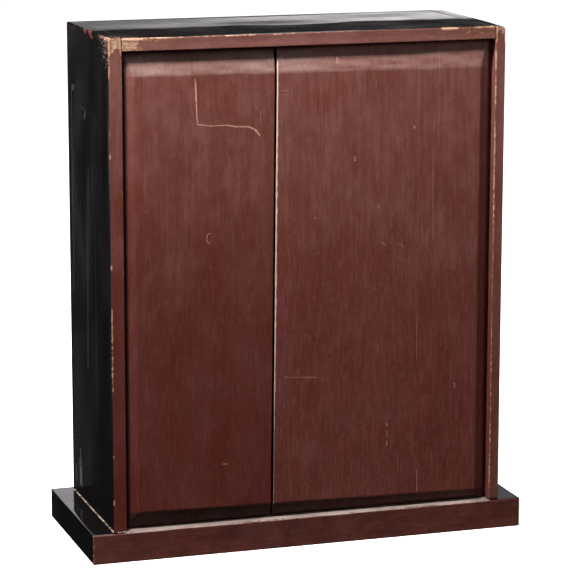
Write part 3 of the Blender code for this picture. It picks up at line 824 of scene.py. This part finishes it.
filler = oldFiller()
ledge, beside, behind = plinthHigh.z, rightHigh.x + 0.1 * mm, caseBack + 0.05 * mm
bead("filler_side", (beside, caseFront + 2 * mm, ledge), (beside, caseBack, ledge), 401)
bead("filler_edge", (rightHigh.x - 1 * mm, behind, ledge), (rightWall, behind, ledge), 411)
skin("joint_skin_right", topHigh.x + touch / 2)
skin("joint_skin_left", topLow.x - touch / 2)


# Back panel

print("back boards")
panel = {
    "bevelDrop": 4.5 * mm, "chamfer": 4.0 * mm, "topDropAtLeft": 0.70,
    "rightBorder": 12.3 * mm, "leftBorder": 13.7 * mm,
    # widths at the left and right edges
    "topBorder": (28.1 * mm, 23.9 * mm), "bottomBorder": (11.2 * mm, 17.9 * mm),
    # widths at the bottom and top
    "rightBoard": (154.2 * mm, 158.9 * mm), "leftBoard": (79.8 * mm, 81.6 * mm), "slit": (2.6 * mm, 2.4 * mm),
    "wave": 0.16 * mm, "step": 1.9 * mm, "bandSteps": 8, "arris": 0.5 * mm,
    # facets of the top bevel with a paler painted sheen, as (middle, half length, amount)
    "sheenFacets": [(0.055, 0.024, 0.22), (0.010, 0.022, 0.22), (0.168, 0.020, 0.26), (0.105, 0.020, 0.10)],
    "slitChamfer": 1.2 * mm, "wobble": 0.5 * mm, "jointGap": 0.04 * mm, "jointArris": 0.08 * mm,
    "fineColumns": np.array([0, 0.25, 0.6, 1.1, 1.9, 2.8]) * mm,
}
panelRight, panelLeft = panelRightHigh.x, panelLeftLow.x
panelTop, panelBottom = panelRightHigh.z, panelRightLow.z
panelBack, panelFront = panelRightHigh.y, panelRightLow.y


def leaning(bottomX, topX, z):
    return bottomX + (topX - bottomX) * (z - panelBottom) / (panelTop - panelBottom)


def border(pair, x):
    # a bevel's width, which changes evenly from the panel's left edge to its right
    return pair[0] + (pair[1] - pair[0]) * (x - panelLeft) / (panelRight - panelLeft)


def dropBelowBack(x, z, topWide, bottomWide):
    # The deepest of the planed slopes at a point: on each side a wide bevel to a foot, then a 45-degree
    # chamfer. The top bevel is planed less deep towards the left.
    deepest = 0 * x
    topDrop = panel["bevelDrop"] * (1 - (1 - panel["topDropAtLeft"]) * smooth(-0.095, -0.165, x))
    for distance, wide, middleWide, fall in (
            (panelRight - x, panel["rightBorder"], panel["rightBorder"], panel["bevelDrop"]),
            (x - panelLeft, panel["leftBorder"], panel["leftBorder"], panel["bevelDrop"]),
            (panelTop - z, topWide, sum(panel["topBorder"]) / 2, topDrop),
            (z - panelBottom, bottomWide, sum(panel["bottomBorder"]) / 2, panel["bevelDrop"])):
        bevel = fall * (wide - distance) / (middleWide - panel["chamfer"])
        deepest = np.maximum(deepest, np.maximum(bevel, fall + panel["chamfer"] - distance))
    return deepest


def backBoard(name, leftLine, rightLine, leftEdge, rightEdge, seed):
    # A height over a grid of places: columns keep to the board's leaning edges and to the bevels' lines,
    # rows keep to the top and bottom bevels' lines, and the height is the back plane less the deepest
    # planed slope there.
    rowShare = np.linspace(0, 1, int((panelTop - panelBottom - 50 * mm) / panel["step"]) + 1)
    chamfer, bandSteps = panel["chamfer"], panel["bandSteps"]

    def edgeColumns(edge, wide):
        if edge != "bevel":
            return panel["fineColumns"]
        bevel = np.linspace(0, wide - chamfer, bandSteps + 1)[1:]
        return np.concatenate([np.linspace(0, chamfer, 5), chamfer + bevel])

    def columnsAt(z):
        a, b = leaning(*leftLine, z), leaning(*rightLine, z)
        first = edgeColumns(leftEdge, panel["leftBorder"])
        last = edgeColumns(rightEdge, panel["rightBorder"])[::-1]
        inner = int(abs(rightLine[1] - leftLine[1]) / panel["step"])
        share = np.linspace(0, 1, inner + 1)[1:-1]
        start, end = a + first[-1], b - last[0]
        return np.concatenate([a + first, start + share * (end - start), b - last])

    # rows: chamfer, bevel, field, bevel, chamfer, each at its nominal height in the middle, then moved to
    # its line
    steep, shallow = np.linspace(0, 1, 5), np.linspace(0, 1, bandSteps + 1)
    bands = [(0, steep), (1, shallow[1:]), (2, rowShare[1:]), (3, shallow[1:]), (4, steep[1:])]
    nominal = [panelBottom, panelBottom + chamfer, panelBottom + border(panel["bottomBorder"], 0),
               panelTop - border(panel["topBorder"], 0), panelTop - chamfer, panelTop]
    xs, zs, tops, bottoms = [], [], [], []
    for band, shares in bands:
        for share in shares:
            z = nominal[band] + share * (nominal[band + 1] - nominal[band])
            x = columnsAt(z)
            inside = smooth(0, 20 * mm, np.minimum(panelRight - panel["rightBorder"] - x,
                                                   x - panelLeft - panel["leftBorder"]))
            wobble = panel["wobble"] * inside
            above, below = wander(seed, x, 0 * x, 0.045, 1.0), wander(seed + 4, x, 0 * x, 0.06, 1.0)
            topWide = border(panel["topBorder"], x) + wobble * above
            bottomWide = border(panel["bottomBorder"], x) + 0.4 * wobble * below
            lines = [panelBottom + 0 * x, panelBottom + chamfer + 0 * x, panelBottom + bottomWide,
                     panelTop - topWide, panelTop - chamfer + 0 * x, panelTop + 0 * x]
            xs.append(x)
            tops.append(topWide)
            bottoms.append(bottomWide)
            zs.append(lines[band] + share * (lines[band + 1] - lines[band]))
    x, z = np.array(xs).T, np.array(zs).T
    topWide, bottomWide = np.array(tops).T, np.array(bottoms).T
    drop = dropBelowBack(x, z, topWide, bottomWide)
    # the top bevel, which tilts up to the light, gets a pale tone that is partly dust and partly painted
    # sheen, stronger on some facets
    onBevel = smooth(-1.5 * mm, 0.5 * mm, z - (panelTop - topWide))
    onBevel = onBevel * (1 - smooth(5 * mm, 3 * mm, panelTop - z))
    dustAndPaintedLight = onBevel * np.maximum(0.21 + 0.16 * wander(seed + 6, x, z, 0.055, 0.009), 0)
    for place, half, amount in panel["sheenFacets"]:
        dustAndPaintedLight = dustAndPaintedLight + onBevel * amount * np.exp(-((x - place) / half) ** 2)
    # painted shade: darker in the bottom bevel, which faces down, in the grooves beside the edges of the
    # case, and under the top board's lip
    paintedShade = 0.76 + 0.17 * smooth(-0.15, 0.10, x)
    paintedShade = paintedShade * smooth(bottomWide + 1.5 * mm, bottomWide - 1.5 * mm, z - panelBottom)
    for more in (0.85 * smooth(7.5 * mm, 2.5 * mm, panelRight - x),
                 0.80 * smooth(5.0 * mm, 1.5 * mm, x - panelLeft),
                 0.50 * smooth(-0.12, 0.10, x) * smooth(10 * mm, 4 * mm, panelTop - z)):
        paintedShade = np.maximum(paintedShade, more)
    inField = smooth(2 * mm, 12 * mm, np.minimum(z - panelBottom - 12 * mm, panelTop - 26 * mm - z))
    wave = panel["wave"] * wander(seed + 1, x, z, 0.06, 0.24) * inField
    worn = np.zeros(x.shape)
    fromLeft, fromRight = x - leaning(*leftLine, z), leaning(*rightLine, z) - x
    for distance, edge in ((fromLeft, leftEdge), (fromRight, rightEdge)):
        if edge == "bevel":
            continue
        arris = panel["arris" if edge == "slit" else "jointArris"]
        drop = drop + np.maximum(arris - distance, 0) ** 2 / arris
        if edge == "joint":
            # a tight joint, with a trace of dust along its upper half
            beside = 1 - smooth(0.5 * mm, 1.3 * mm, distance)
            dustAndPaintedLight = np.maximum(dustAndPaintedLight, 0.13 * smooth(0.30, 0.46, z) * beside)
            continue
        rub = wearAlong([], z, seed + 7)
        # painted shade along the edges of the slit
        paintedShade = np.maximum(paintedShade, 0.9 * (1 - smooth(0.1 * mm, 0.9 * mm, distance)))
        worn = np.maximum(worn, rub * (1 - smooth(0.2 * mm, 1.3 * mm, distance)))
    if rightEdge == "slit":
        # the arris beside the slit is split off along the field, showing bare wood
        split = smooth(9 * mm, 13 * mm, panelTop - z) * smooth(11 * mm, 17 * mm, z - panelBottom)
        split = split * (0.44 + 0.56 * smooth(0.08, 0.30, z))
        ragged = 0.88 + 0.25 * wander(seed + 9, z, 0 * z, 0.012, 1.0, 9)
        wide = panel["slitChamfer"] * ragged * split + 1e-6
        drop = drop + 0.8 * np.maximum(wide - fromRight, 0)
        worn = np.maximum(worn, split * (1 - smooth(0.75, 1.15, fromRight / wide)))
        onSplit = split * (1 - smooth(0.9, 1.3, fromRight / wide))
        paintedShade = paintedShade * (1 - onSplit)
        dustAndPaintedLight = np.maximum(dustAndPaintedLight, 0.75 * onSplit)
        patch = np.exp(-((z - 0.215) / 0.034) ** 2)
        worn = np.maximum(worn, 0.75 * patch * (1 - smooth(0.3 * mm, 1.2 * mm, fromLeft)))
    y = panelBack - drop + wave
    points = np.stack([x, y, z], axis=-1)
    across, up = x.shape
    top = gridFaces(across, up, False)
    index = np.arange(across * up).reshape(across, up)
    rim = np.concatenate([index[0, :-1], index[:-1, -1], index[-1, :0:-1], index[:0:-1, 0]])
    flat = points.reshape(-1, 3)
    shelf, under = flat[rim].copy(), flat[rim].copy()
    shelf[:, 1] -= 0.6 * mm
    under[:, 1] = panelFront
    upper = across * up + np.arange(len(rim))
    lower = upper + len(rim)
    walls = [np.stack([np.roll(a, -1), a, b, np.roll(b, -1)], axis=-1)
             for a, b in ((rim, upper), (upper, lower))]
    faces = top.tolist() + walls[0].tolist() + walls[1].tolist() + [lower[::-1].tolist()]
    faceMaterial = [0] * (len(top) + len(rim)) + [1] * (len(rim) + 1)
    # the edge walls of each board get painted shade of 0.9, where they stand in the gaps between parts
    blank = np.zeros(2 * len(rim))
    addPiece(name, np.concatenate([flat, shelf, under]), faces, "case", [name],
             [paintBackRight if rightEdge == "bevel" else paintBack, lacquerInside], faceMaterial,
             np.concatenate([worn.ravel(), blank]), np.concatenate([dustAndPaintedLight.ravel(), blank]),
             np.concatenate([paintedShade.ravel(), blank + 0.9]), sharp=30)


rightJoint = (panelRight - panel["rightBoard"][0], panelRight - panel["rightBoard"][1])
leftJoint = (panelLeft + panel["leftBoard"][0], panelLeft + panel["leftBoard"][1])
slitLine = (rightJoint[0] - panel["slit"][0], rightJoint[1] - panel["slit"][1])
middleLine = (leftJoint[0] + panel["jointGap"], leftJoint[1] + panel["jointGap"])
backBoard("back_board_right", rightJoint, (panelRight, panelRight), "slit", "bevel", 131)
backBoard("back_board_middle", middleLine, slitLine, "joint", "slit", 151)
backBoard("back_board_left", (panelLeft, panelLeft), leftJoint, "bevel", "joint", 171)


# Front: doors, door stop, knobs, hinges

print("doors")
doorLook = {"radius": 0.8 * mm, "loss": 0.6 * mm, "wave": 0.10 * mm, "step": 3.0 * mm, "endRadius": 0.8 * mm}
stopLook = {"radius": 0.6 * mm, "loss": 0.2 * mm, "wave": 0.03 * mm, "step": 4.0 * mm, "endRadius": 0.5 * mm}
for word, seed in (("right", 211), ("left", 241)):
    low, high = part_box("door_" + word)
    door = {**doorLook, "outline": rectangle(low, high, 0, 1), "length": (low.z, high.z),
            "wear": {i: [] for i in range(4)}, "sideStep": {0: 6 * mm, 2: 6 * mm},
            "sideMaterial": [0, 0, 1, 0]}
    addBoard("door_" + word, word + "_door", door, (0, 1, 2), seed, [lacquerUpright, lacquerInside])

low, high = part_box("door_stop")
stop = {**stopLook, "outline": rectangle(low, high, 1, 2), "length": (low.x, high.x), "wear": {0: [], 1: []},
        "sideMaterial": [0, 0, 0, 0]}
addBoard("door_stop", "case", stop, (1, 2, 0), 261, [lacquerInside])


def turned(profile, sides, centre):
    # a profile of (radius, distance out along -Y) carried round the axis, closed at both ends by a point
    radius, out = np.array(profile).T
    angle = np.linspace(0, 2 * np.pi, sides, endpoint=False)
    ring = radius[1:-1, None]
    x, z = centre[0] + ring * np.cos(angle), centre[2] + ring * np.sin(angle)
    y = centre[1] - out[1:-1, None] + 0 * x
    ends = [(centre[0], centre[1] - out[i], centre[2]) for i in (0, -1)]
    return closeRings(np.stack([x, y, z], axis=-1), *ends)


def arcPoints(centreRadius, centreOut, size, start, end, count):
    angles = np.radians(np.linspace(start, end, count))
    return [(centreRadius + size * math.cos(t), centreOut + size * math.sin(t)) for t in angles]


print("knobs and hinges")
knobLook = {"rose": 7.5 * mm, "roseThick": 1.0 * mm, "roseRim": 0.4 * mm, "neck": 2.8 * mm,
            "neckLength": 1.8 * mm, "neckFlare": 0.6 * mm, "button": 6.2 * mm, "buttonThick": 3.6 * mm,
            "rim": 0.7 * mm, "sides": 64}


def knobProfile(look):
    # button, rim, waisted neck, groove and rose, from the tip inwards
    rose, thick, tall = look["rose"], look["roseThick"], look["neckLength"]
    button, rim = look["button"], look["rim"]
    top, waist = thick + tall, thick + 0.5 * tall
    crown = [(button * math.sin(t), top + rim + (look["buttonThick"] - rim) * math.cos(t))
             for t in np.radians(np.linspace(0, 90, 14))]
    edge = arcPoints(button - 0.5 * rim, top + 0.5 * rim, 0.5 * rim, 0, -90, 5)
    neck = [(look["neck"] + look["neckFlare"] * ((t - waist) / (0.5 * tall)) ** 2, t)
            for t in np.linspace(top - 0.01 * mm, thick + 0.12 * mm, 7)]
    groove = [(rose - 2.2 * mm, thick), (rose - 1.9 * mm, thick - 0.25 * mm), (rose - 1.6 * mm, thick)]
    foot = arcPoints(rose - look["roseRim"], thick - look["roseRim"], look["roseRim"], 90, 0, 5)
    return crown + edge + neck + groove + foot + [(rose, 0.0), (0, 0)]


for word in ("right", "left"):
    low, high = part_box("knob_" + word)
    centre = ((low.x + high.x) / 2, high.y, (low.z + high.z) / 2)
    points, faces = turned(knobProfile(knobLook), knobLook["sides"], centre)
    addPiece("knob_" + word, points, faces, word + "_door", ["knob_" + word], [brass], sharp=50)

screwLook = {"head": 1.9 * mm, "dome": 0.65 * mm, "slotHalf": 0.28 * mm, "slotDeep": 0.45 * mm,
             "fromPin": 7.6 * mm, "upDown": 12.5 * mm, "sides": 40, "knuckle": 2.5 * mm,
             "leafThick": 1.0 * mm, "sunk": 0.02 * mm}


def screwHeads(name, body, leaf, awaySign, seed):
    # two low domed heads on a leaf; each is rings of a dome, pressed down where they cross the slot
    low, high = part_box(leaf)
    look = screwLook
    dice = np.random.default_rng(seed)
    axisX = low.x + look["knuckle"] if awaySign > 0 else high.x - look["knuckle"]
    allPoints, allFaces = [], []
    for up in (-1, 1):
        centreX, centreZ = axisX + awaySign * look["fromPin"], (low.z + high.z) / 2 + up * look["upDown"]
        radius = np.concatenate([np.linspace(0.12, 1, 12) * look["head"], [look["head"]]])
        angle = np.linspace(0, 2 * np.pi, look["sides"], endpoint=False)
        r, t = np.meshgrid(radius, angle, indexing="ij")
        lift = look["dome"] * (1 - 0.75 * (r / look["head"]) ** 2)
        lift[-1] = 0.0
        turn = dice.uniform(0, np.pi)
        inSlot = smooth(look["slotHalf"] * 1.25, look["slotHalf"] * 0.8, np.abs(r * np.sin(t - turn)))
        lift[:-1] -= (look["slotDeep"] * inSlot * np.minimum(1, lift / look["dome"] + 0.3))[:-1]
        lift = np.maximum(lift, 0)
        face = high.y - look["leafThick"] - look["sunk"]
        grid = np.stack([centreX + r * np.cos(t), face - lift, centreZ + r * np.sin(t)], axis=-1)
        rows, sides = r.shape
        middle = [[centreX, face - (look["dome"] - look["slotDeep"]), centreZ]]
        start = sum(len(p) for p in allPoints)
        allPoints += [grid.reshape(-1, 3), np.array(middle)]
        step = np.arange(sides)
        fan = np.stack([np.full(sides, rows * sides), (step + 1) % sides, step], axis=-1)
        base = (rows - 1) * sides
        allFaces += (gridFaces(rows, sides, True) + start).tolist() + (fan + start).tolist()
        allFaces.append((start + base + step).tolist())
    addPiece(name, np.concatenate(allPoints), allFaces, body, [], [brass], sharp=40)


seed = 300
for place in ("upper", "lower"):
    for word, sign in (("right", 1), ("left", -1)):
        hinge = "hinge_%s_%s" % (place, word)
        for part in ("case_leaf", "door_leaf", "pin"):
            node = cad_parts[hinge + "_" + part]
            node.data.materials.clear()
            node.data.materials.append(brass)
        screwHeads(hinge + "_case_screws", "case", hinge + "_case_leaf", sign, seed)
        screwHeads(hinge + "_door_screws", word + "_door", hinge + "_door_leaf", -sign, seed + 1)
        seed += 2


# Floor, light and camera

print("studio")
studio = {
    "floorHalf": 14.0, "floorColour": "#f4f3f1",
    # each light's place, the point it looks at, its size in m and its power in W
    "key": ((0.58, 0.520, 1.800), (0, 0.09, 0.35), 0.26, 60.0),
    "front": ((1.25, -1.85, 2.6), (0, -0.09, 0.27), 1.0, 110.0),
    "fill": ((0.6, 3.2, 1.5), (0, 0.09, 0.27), 1.8, 17.0),
    "airBelow": 0.004, "airLevel": 0.010, "airAbove": 0.054, "pool": (0.6, 1.8), "poolGlow": (0.97, 1.0),
    "glossFloor": 1.0, "glossFloorHalf": 6.0, "cardsAt": -1.0,
}


def levelSquare(half, z):
    return [(-half, -half, z), (half, -half, z), (half, half, z), (-half, half, z)]


floorMesh = bpy.data.meshes.new("floor")
floorMesh.from_pydata(levelSquare(studio["floorHalf"], 0), [], [(0, 1, 2, 3)])
floor = bpy.data.objects.new("floor", floorMesh)
bpy.context.scene.collection.objects.link(floor)
floorMaterial, add, place = newMaterial("matteWhiteFloor")
away = add("VectorMath", [place], operation="LENGTH")
glow = add("MapRange", (away, *studio["pool"], *studio["poolGlow"]), **eased)
finishMaterial(floorMaterial, add, {
    "Base Color": studio["floorColour"], "Roughness": 0.9, "Specular IOR Level": 0.0,
    "Emission Color": "#ffffff", "Emission Strength": glow})
floorMesh.materials.append(floorMaterial)
floor.visible_glossy = False
floor.visible_diffuse = False
floor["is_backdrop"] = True


def areaLight(name, place, target, size, power):
    light = bpy.data.lights.new(name, "AREA")
    light.shape = "DISK"
    light.size = size
    light.energy = power
    lamp = bpy.data.objects.new(name, light)
    lamp.location = place
    lamp.rotation_euler = (Vector(target) - Vector(place)).to_track_quat("-Z", "Y").to_euler()
    lamp.visible_camera = False
    bpy.context.scene.collection.objects.link(lamp)
    return lamp


lamps = {word: areaLight(word + "Light", *studio[word]) for word in ("key", "fill", "front")}
lamps["fill"].visible_glossy = False


def glowSheet(name, corners, colour, strengthAt):
    # a sheet that only shows in the gloss of the lacquer; strengthAt adds the nodes that give its brightness
    mesh = bpy.data.meshes.new(name)
    mesh.from_pydata(corners, [], [(0, 1, 2, 3)])
    material, add, place = newMaterial(name + "Glow")
    mesh.materials.append(finishMaterial(material, add, {
        "Base Color": "#000000", "Specular IOR Level": 0.0, "Emission Color": colour,
        "Emission Strength": strengthAt(add, place)}))
    sheet = bpy.data.objects.new(name, mesh)
    sheet.visible_camera, sheet.visible_diffuse, sheet.visible_shadow = False, False, False
    bpy.context.scene.collection.objects.link(sheet)
    sheet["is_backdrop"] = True


def card(name, xRange, zRange, colour, strengths, fade=None):
    # an upright glowing card in front, seen only in gloss as a painted reflection; its strength changes from
    # its left to its right, or between fade's two places
    (x1, x2), (z1, z2), y = xRange, zRange, studio["cardsAt"]
    corners = [(x1, y, z1), (x2, y, z1), (x2, y, z2), (x1, y, z2)]
    glowSheet(name, corners, colour, lambda add, place: add(
        "MapRange", (add("SeparateXYZ", [place]).outputs[0], *(fade or xRange), *strengths), **eased))


card("upperCard", (-0.72, 0.25), (0.50, 0.645), "#ece8ea", (1.78, 0.38), (-0.62, 0.10))
card("lowerCard", (-0.30, 0.36), (0.05, 0.50), "#ece6ec", (1.3, 1.3))
card("ledgeCard", (-0.82, -0.56), (0.28, 0.46), "#e6e6ee", (0.50, 0.30))
card("dimCard", (0.36, 0.455), (-0.60, 0.60), "#e9e4ee", (0.05, 0.035))


def floorGlow(add, place):
    # The pale floor as the gloss sees it: a glowing sheet that paints the reflection, brighter away from the
    # cabinet. A strip beside the right side is dark, a painted dark reflection: its middle runs at x = 0.21 +
    # 0.25 |y| and its half width is 0.12 + 0.24 |y|. It is dimmer behind the cabinet too.
    x, y = add("SeparateXYZ", [place]).outputs[:2]
    ahead = add("Math", [y], operation="ABSOLUTE")
    aside = add("Math", (x, 0.21), operation="SUBTRACT")
    aside = add("Math", (ahead, -0.25, aside), operation="MULTIPLY_ADD")
    halfWide = add("Math", (ahead, 0.24, 0.12), operation="MULTIPLY_ADD")
    least = add("MapRange", (aside, -0.022, 0.012, 0.052, 0.014), **eased)
    across = add("Math", [add("Math", (aside, halfWide), operation="DIVIDE")], operation="ABSOLUTE")
    strip = add("Math", (add("MapRange", (across, 0.9, 1.5, 1.0, 0.0), **eased),
                         add("MapRange", (y, 0.5, 0.3), **eased)), operation="MULTIPLY")
    dark = add("Math", (strip, add("MapRange", (y, -0.05, 0.5, 0.0, 0.92), **eased)), operation="MAXIMUM")
    away = add("VectorMath", [place], operation="LENGTH")
    bright = add("MapRange", (away, 0.25, 1.6, 0.02, studio["glossFloor"]), **eased)
    bright = add("Math", (bright, add("Math", (1.0, dark), operation="SUBTRACT")), operation="MULTIPLY")
    return add("Math", (bright, least), operation="MAXIMUM")


glowSheet("floorInGloss", levelSquare(studio["glossFloorHalf"], -2 * mm), "#ffffff", floorGlow)

world = bpy.data.worlds.new("studioAir")
bpy.context.scene.world = world
world.use_nodes = True
world.node_tree.nodes.clear()
add = partial(addNode, world.node_tree)
up = add("SeparateXYZ", [add("TexCoord").outputs["Generated"]]).outputs[2]
air = add("ValToRGB", [add("MapRange", (up, -0.6, 0.6))])
air.color_ramp.elements.new(0.5)
for stop, level in zip(air.color_ramp.elements, ("airBelow", "airLevel", "airAbove")):
    stop.color = [studio[level]] * 3 + [1]
seen = add("LightPath").outputs["Is Camera Ray"]
backdrop = add("Mix", {0: seen, 6: air, 7: "#ffffff"}, data_type="RGBA").outputs[2]
add("OutputWorld", [add("Background", [backdrop])])

cameraLook = {"place": (0.8692, 2.6797, 0.8257), "target": (-0.00055, 0.00132, 0.25802), "roll": 0.059,
              "lens": 172.44, "sensor": 36.0}
lens = bpy.data.cameras.new("camera")
lens.lens = cameraLook["lens"]
lens.sensor_width = cameraLook["sensor"]
lens.clip_start, lens.clip_end = 0.05, 60.0
lens.dof.use_dof = False
camera = bpy.data.objects.new("camera", lens)
camera.location = cameraLook["place"]
sight = Vector(cameraLook["target"]) - Vector(cameraLook["place"])
facing = sight.to_track_quat("-Z", "Y").to_matrix().to_4x4()
camera.rotation_euler = (facing @ Matrix.Rotation(math.radians(cameraLook["roll"]), 4, "Z")).to_euler()
bpy.context.scene.collection.objects.link(camera)
bpy.context.scene.camera = camera
bpy.context.scene.view_settings.view_transform = "Standard"

low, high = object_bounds()
print("sizes", [round(v, 4) for v in (*low, *high)])
